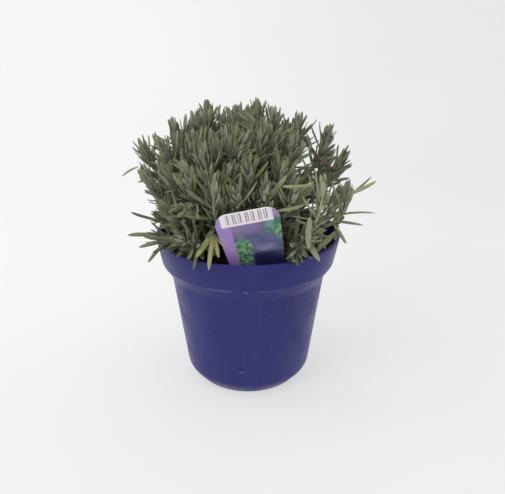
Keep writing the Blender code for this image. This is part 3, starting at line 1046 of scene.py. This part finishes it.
# The leaves' finish: velvety, paler underneath, with a light midrib and a bloom of short hairs.
velvet, tree, shader = new_finish("velvety_leaf", 0.82, specular=0.25)
shader.inputs["Sheen Weight"].default_value = 0.22
shader.inputs["Sheen Roughness"].default_value = 0.45
shader.inputs["Sheen Tint"].default_value = (0.85, 0.88, 0.88, 1.0)
place = own_place(tree)
blade_place = add_node(tree, "ShaderNodeUVMap", uv_map="blade").outputs["UV"]
split = split_place(tree, blade_place)
aside, along = split["X"], split["Y"]
underside = sums(tree, "GREATER_THAN", aside, 1.02)
across = sums(tree, "SUBTRACT", sums(tree, "SUBTRACT", aside, underside), 0.5)
across = sums(tree, "ABSOLUTE", across)
tone = add_node(tree, "ShaderNodeAttribute", attribute_name="leaf_tone").outputs["Fac"]
age = add_node(tree, "ShaderNodeAttribute", attribute_name="leaf_age").outputs["Fac"]
hairs = mottle(tree, place, 2600.0, detail=2.0)
colour = coats(
    tree, (0.033, 0.064, 0.014),
    (tone, (0.262, 0.268, 0.148)),
    (blotches(tree, place, 60.0, 0.35, 0.7, top=0.6), (0.172, 0.190, 0.092)),
    (between(tree, along, 0.25, 0.0, top=0.4), (0.220, 0.235, 0.120)),
    (between(tree, across, 0.10, 0.0, top=0.35), (0.340, 0.355, 0.245)),
    (times(tree, underside, 0.55), (0.320, 0.335, 0.255)),
    (between(tree, age, 0.15, 0.8), (0.300, 0.290, 0.115)),
    (between(tree, age, 0.85, 1.3), (0.200, 0.130, 0.070)),
    (between(tree, hairs, 0.45, 0.75, top=0.20), (0.400, 0.410, 0.385)),
)
plug(tree, colour, shader.inputs["Base Color"])
relief(tree, shader, sums(tree, "ADD", hairs, mottle(tree, place, 500.0)), 0.00012)

# The stems' finish: green-grey and downy at the tips, brown and barky towards the crown.
bark, tree, shader = new_finish("downy_stem", 0.80, specular=0.25)
place = own_place(tree)
youth = add_node(tree, "ShaderNodeAttribute", attribute_name="stem_youth").outputs["Fac"]
woody = tint(
    tree, blotches(tree, own_place(tree, (1, 1, 0.25)), 420.0, 0.35, 0.7, detail=6.0),
    (0.060, 0.040, 0.028), (0.200, 0.140, 0.100),
)
green = tint(
    tree, blotches(tree, place, 300.0, 0.35, 0.7), (0.210, 0.225, 0.135), (0.350, 0.350, 0.240),
)
colour = tint(tree, between(tree, youth, 0.40, 0.80), woody, green)
plug(tree, colour, shader.inputs["Base Color"])
relief(tree, shader, mottle(tree, own_place(tree, (1, 1, 0.3)), 900.0, detail=6.0), 0.00030)


def model_stem(twig):
    """A tapered, downy stem along a twig's curve, made into a mesh."""
    deselect_all()
    bpy.ops.curve.primitive_bezier_curve_add()
    stem = bpy.context.object
    end = twig.below_tip(min(0.0065, 0.5 * twig.length))
    finish_point = twig.point(end)
    handle = twig.start.lerp(twig.belly, end)
    first, last = stem.data.splines[0].bezier_points
    for knot in (first, last):
        knot.handle_left_type = "FREE"
        knot.handle_right_type = "FREE"
    first.co, last.co = twig.start, finish_point
    first.handle_right = twig.start.lerp(handle, 2 / 3)
    first.handle_left = twig.start * 2 - first.handle_right
    last.handle_left = finish_point.lerp(handle, 2 / 3)
    last.handle_right = finish_point * 2 - last.handle_left
    first.radius, last.radius = 1.0, twig.thin / twig.thick
    stem.data.resolution_u = 14
    stem.data.bevel_depth = twig.thick
    stem.data.bevel_resolution = 2
    stem.data.use_fill_caps = True
    bpy.ops.object.convert(target="MESH")
    stem = bpy.context.object
    settle(stem)
    youth = stem.data.attributes.new("stem_youth", "FLOAT", "POINT")
    span = (twig.tip - twig.start).length
    for vert in stem.data.vertices:
        youth.data[vert.index].value = twig.youth + (vert.co - twig.start).length / span
    stem.data.materials.clear()
    stem.data.materials.append(bark)
    stem.data.materials.append(velvet)
    return stem


# Each shoot: its own stem, its side twigs' stems and all its leaves, joined into one piece.
for name in shoot_names:
    stalk = model_stem(stems[name])
    stalk.name = "leafy_" + name
    side_stems = [model_stem(twig) for owner, twig in twigs if owner == name]
    copies = []
    for kind, seat, blade, face, size, width, bend, twist, age, tone in leaves[name]:
        mesh = masters[kind].data.copy()
        spots = bent_blade(kind, seat, blade, face, size, width, bend, twist)
        mesh.vertices.foreach_set("co", spots.astype(np.float32).ravel())
        count = len(mesh.vertices)
        mesh.attributes["leaf_age"].data.foreach_set("value", np.full(count, age, np.float32))
        mesh.attributes["leaf_tone"].data.foreach_set("value", np.full(count, tone, np.float32))
        mesh.materials.append(bark)
        mesh.materials.append(velvet)
        mesh.polygons.foreach_set("material_index", np.ones(len(mesh.polygons), np.int32))
        copy = bpy.data.objects.new("leaf", mesh)
        bpy.context.collection.objects.link(copy)
        copies.append(copy)
    pick_up(stalk)
    for part in side_stems + copies:
        part.select_set(True)
    bpy.ops.object.join()
    bpy.ops.object.shade_smooth_by_angle(angle=math.radians(60))
    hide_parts(name)
    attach(stalk, "root")
for blade in masters.values():
    bpy.data.objects.remove(blade)

# The woody crown: a knob with a stub for each shoot, fused into one barky lump.
deselect_all()
bpy.ops.mesh.primitive_uv_sphere_add(
    segments=32, ring_count=20, radius=crown_radius * 0.86, location=crown_centre,
)
crown = bpy.context.object
crown.name = "woody_base"
settle(crown)
stubs = []
deselect_all()
root_tip = crown_low.z
bpy.ops.mesh.primitive_cone_add(
    vertices=24, radius1=0.0022, radius2=0.0080, depth=crown_centre.z - root_tip,
    location=(crown_centre.x, crown_centre.y, 0.5 * (crown_centre.z + root_tip)),
)
stubs.append(bpy.context.object)
for name in shoot_names:
    stem = stems[name]
    low, high = stem.point(0.0), stem.point(0.10)
    aim = (high - low).to_track_quat("Z", "Y")
    deselect_all()
    bpy.ops.mesh.primitive_cone_add(
        vertices=10, radius1=0.0026, radius2=0.0012, depth=(high - low).length,
        location=low.lerp(high, 0.5), rotation=aim.to_euler(),
    )
    stubs.append(bpy.context.object)
for stub in stubs:
    settle(stub)
pick_up(crown)
for stub in stubs:
    stub.select_set(True)
bpy.ops.object.join()
crown = bpy.context.object
apply_modifier(crown, "REMESH", mode="VOXEL", voxel_size=0.0006)
apply_modifier(crown, "SMOOTH", factor=0.5, iterations=2)
for vert in crown.data.vertices:
    vert.co += vert.normal * (
        0.0005 * solid_noise.noise(vert.co * 260.0) + 0.0003 * solid_noise.noise(vert.co * 800.0)
    )
pick_up(crown)
bpy.ops.object.shade_smooth()
crown.data.materials.clear()
crown.data.materials.append(bark)
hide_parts("woody_crown")
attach(crown, "root")


# ------------------------------------------------------------------------------------------------
# The plant label. A stake punched from thin white plastic sheet, printed on its front and pushed
# into the soil inside the lip. Its print is plain: a lilac band, a striped strip and blurred colour.
# ------------------------------------------------------------------------------------------------
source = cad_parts["plant_label"]
label = bpy.data.objects.new("printed_label", source.data.copy())
bpy.context.collection.objects.link(label)
label.data.materials.clear()
pick_up(label)
open_mesh()
bpy.ops.mesh.remove_doubles(threshold=0.00001)
bpy.ops.mesh.dissolve_limited(angle_limit=math.radians(2))
face_outwards()
for step in range(1, 16):
    bpy.ops.mesh.select_all(action="SELECT")
    spot = label_centre + label_up * (-0.055 + 0.0068 * step)
    bpy.ops.mesh.bisect(plane_co=spot, plane_no=label_up)
close_mesh()
for vert in label.data.vertices:
    across = (vert.co - label_centre).dot(label_right)
    up = (vert.co - label_centre).dot(label_up)
    vert.co += label_front * (1.6 * across ** 2 - 0.25 * max(up, 0.0) ** 2)
print_size = 0.0412
print_map = label.data.uv_layers.new(name="print")
label_top = max((vert.co - label_centre).dot(label_up) for vert in label.data.vertices)
for polygon in label.data.polygons:
    for corner in polygon.loop_indices:
        spot = label.data.vertices[label.data.loops[corner].vertex_index].co - label_centre
        drop = label_top - spot.dot(label_up)
        print_map.data[corner].uv = (spot.dot(label_right) / print_size + 0.5, 1.0 - drop / print_size)
for layer in list(label.data.uv_layers):
    if layer.name != "print":
        label.data.uv_layers.remove(layer)

sheet, tree, shader = new_finish("white_label_sheet", 0.38)
place = own_place(tree)
colour = coats(
    tree, (0.78, 0.77, 0.78),
    (blotches(tree, place, 120.0, 0.35, 0.7), (0.70, 0.69, 0.70)),
    (times(tree, specks(tree, place, 600.0, 1.02), 0.5), (0.20, 0.16, 0.12)),
)
plug(tree, colour, shader.inputs["Base Color"])
relief(tree, shader, mottle(tree, place, 1400.0), 0.00002)

printed, tree, shader = new_finish("printed_label_face", 0.34)
place = add_node(tree, "ShaderNodeUVMap", uv_map="print").outputs["UV"]
split = split_place(tree, place)
right, up = split["X"], split["Y"]
bloom = mottle(tree, place, 4.2, detail=4.0)
petals = mottle(tree, place, 11.0, detail=3.0)
wander = times(tree, sums(tree, "SUBTRACT", mottle(tree, place, 9.0), 0.5), 0.30)


def blob(centre_x, centre_y, half_width, half_height, soft):
    """A ragged-edged oval on the print, from 0 outside to 1 inside."""
    wide = sums(tree, "DIVIDE", sums(tree, "SUBTRACT", right, centre_x), half_width)
    tall = sums(tree, "DIVIDE", sums(tree, "SUBTRACT", up, centre_y), half_height)
    away = sums(tree, "ADD", times(tree, wide, wide), times(tree, tall, tall))
    ragged = sums(tree, "ADD", sums(tree, "SQRT", away), times(tree, wander, 3.0))
    return between(tree, ragged, 1.0 + soft, 1.0 - soft)


leafy = tint(
    tree, blotches(tree, place, 16.0, 0.40, 0.62), (0.035, 0.110, 0.075), (0.170, 0.330, 0.160),
)
teal = tint(
    tree, blotches(tree, place, 9.0, 0.40, 0.62), (0.045, 0.120, 0.115), (0.110, 0.260, 0.190),
)
lilac = tint(
    tree, blotches(tree, place, 3.0, 0.3, 0.7), (0.275, 0.165, 0.440), (0.320, 0.225, 0.460),
)
pale_spray = times(tree, between(tree, up, 0.44, 0.30), blob(0.66, 0.34, 0.14, 0.07, 0.3))
dark_foot = times(tree, between(tree, up, 0.27, 0.21), between(tree, right, 0.44, 0.50))
haze = times(tree, between(tree, up, 0.52, 0.74), between(tree, right, 0.86, 0.55))
corner = times(tree, between(tree, up, 0.78, 0.88), between(tree, right, 0.80, 0.90))
inside_strip = times(tree, between(tree, right, 0.085, 0.095), between(tree, right, 0.905, 0.895))
strip = times(tree, between(tree, up, 0.775, 0.790), inside_strip)
# The strip's stripes: two waves laid over each other, which stand for nothing.
bars = sums(tree, "SINE", times(tree, right, 157.0))
slow = sums(tree, "SINE", sums(tree, "ADD", times(tree, right, 63.0), 1.3))
rhythm = between(tree, sums(tree, "ADD", bars, times(tree, slow, 0.8)), -0.10, 0.55)
inked = times(tree, between(tree, up, 0.812, 0.820), between(tree, right, 0.170, 0.178))
inked = times(tree, inked, between(tree, right, 0.890, 0.882))
inked = times(tree, inked, rhythm)
colour = coats(
    tree, (0.052, 0.062, 0.150),
    (between(tree, bloom, 0.38, 0.62), (0.090, 0.092, 0.205)),
    (between(tree, petals, 0.62, 0.74, top=0.40), (0.200, 0.200, 0.340)),
    (pale_spray, (0.150, 0.160, 0.290)),
    (blob(0.90, 0.68, 0.16, 0.17, 0.25), teal),
    (blob(0.97, 0.56, 0.10, 0.12, 0.25), leafy),
    (blob(0.34, 0.30, 0.15, 0.26, 0.20), leafy),
    (dark_foot, (0.014, 0.014, 0.062)),
    (times(tree, haze, 0.75), (0.230, 0.160, 0.320)),
    (corner, (0.270, 0.180, 0.330)),
    (between(tree, right, 0.245, 0.205), lilac),
    (strip, (0.74, 0.68, 0.74)),
    (times(tree, inked, 0.78), (0.120, 0.105, 0.115)),
    (between(tree, up, 0.982, 0.990), (0.78, 0.77, 0.78)),
)
plug(tree, colour, shader.inputs["Base Color"])
relief(tree, shader, mottle(tree, own_place(tree), 1400.0), 0.00002)

label.data.materials.append(sheet)
label.data.materials.append(printed)
for polygon in label.data.polygons:
    if polygon.normal.dot(label_front) > 0.7:
        polygon.material_index = 1
pick_up(label)
bpy.ops.object.shade_smooth_by_angle(angle=math.radians(30))
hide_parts("plant_label")
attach(label, "root")


# ------------------------------------------------------------------------------------------------
# The studio: a pale, softly glowing floor that sweeps up behind into a wall, soft light from the
# upper left, and the camera in front, looking down a little.
# ------------------------------------------------------------------------------------------------
deselect_all()
bpy.ops.mesh.primitive_plane_add(size=6.0, location=(0, -2.0, 0))
floor = bpy.context.object
floor.name = "studio_sweep"
settle(floor)
bpy.ops.object.mode_set(mode="EDIT")
back = max(vert.co.y for vert in bmesh.from_edit_mesh(floor.data).verts)
choose(floor, "edges", lambda edge: all(vert.co.y > back - 0.001 for vert in edge.verts))
bpy.ops.mesh.extrude_region_move(TRANSFORM_OT_translate={"value": (0, 0, 3.0)})
choose(
    floor, "edges",
    lambda edge: all(vert.co.y > back - 0.001 and vert.co.z < 0.001 for vert in edge.verts),
)
bpy.ops.mesh.bevel(offset=0.5, segments=16, affect="EDGES")
close_mesh()
bpy.ops.object.shade_smooth()
paper, tree, shader = new_finish("studio_paper", 0.9, specular=0.1)
place = own_place(tree)
colour = tint(
    tree, blotches(tree, place, 3.0, 0.3, 0.7), (0.222, 0.222, 0.223), (0.232, 0.232, 0.233),
)
plug(tree, colour, shader.inputs["Base Color"])
split = split_place(tree, place)
sideways, backwards = split["X"], split["Y"]
# The glow is painted light: it lifts the floor's shadows and is dimmer to the right and towards the
# front, as if lit from the left.
glow = coats(
    tree, (1.0, 1.0, 1.0),
    (between(tree, sideways, -0.20, 0.30), (0.90, 0.90, 0.90)),
    (between(tree, backwards, 0.15, -0.15), (0.93, 0.93, 0.93)),
)
plug(tree, glow, shader.inputs["Emission Color"])
shader.inputs["Emission Strength"].default_value = 0.60
floor.data.materials.append(paper)


def soft_light(name, place, aim, size, power):
    lamp = bpy.data.lights.new(name, "AREA")
    lamp.shape = "DISK"
    lamp.size = size
    lamp.energy = power
    holder = bpy.data.objects.new(name, lamp)
    holder.location = place
    holder.rotation_euler = (Vector(aim) - Vector(place)).to_track_quat("-Z", "Y").to_euler()
    bpy.context.collection.objects.link(holder)


middle = Vector((0, 0, 0.12))
soft_light("key_light", (-0.70, -0.75, 1.00), middle, 0.8, 6.5)
soft_light("fill_light", (0.95, -0.55, 0.70), middle, 0.8, 2.2)
soft_light("top_light", (0.0, 0.15, 1.25), middle, 1.0, 4.5)
soft_light("wall_light", (-0.9, 0.1, 1.1), (-0.7, 1.0, 0.35), 0.7, 5.5)

world = bpy.data.worlds.new("studio_air")
world.use_nodes = True
air = world.node_tree.nodes["Background"]
air.inputs["Color"].default_value = (0.99, 0.99, 1.0, 1.0)
air.inputs["Strength"].default_value = 0.78
bpy.context.scene.world = world
bpy.context.scene.view_settings.view_transform = "Standard"

camera_data = bpy.data.cameras.new("camera")
camera_data.sensor_width = 36.0
camera_data.lens = 42.77
camera_data.clip_start = 0.01
camera = bpy.data.objects.new("camera", camera_data)
camera.location = (0.0033, -0.414, 0.266)
camera.rotation_euler = (math.radians(90 - 21.8), 0.0, 0.0)
bpy.context.collection.objects.link(camera)
bpy.context.scene.camera = camera
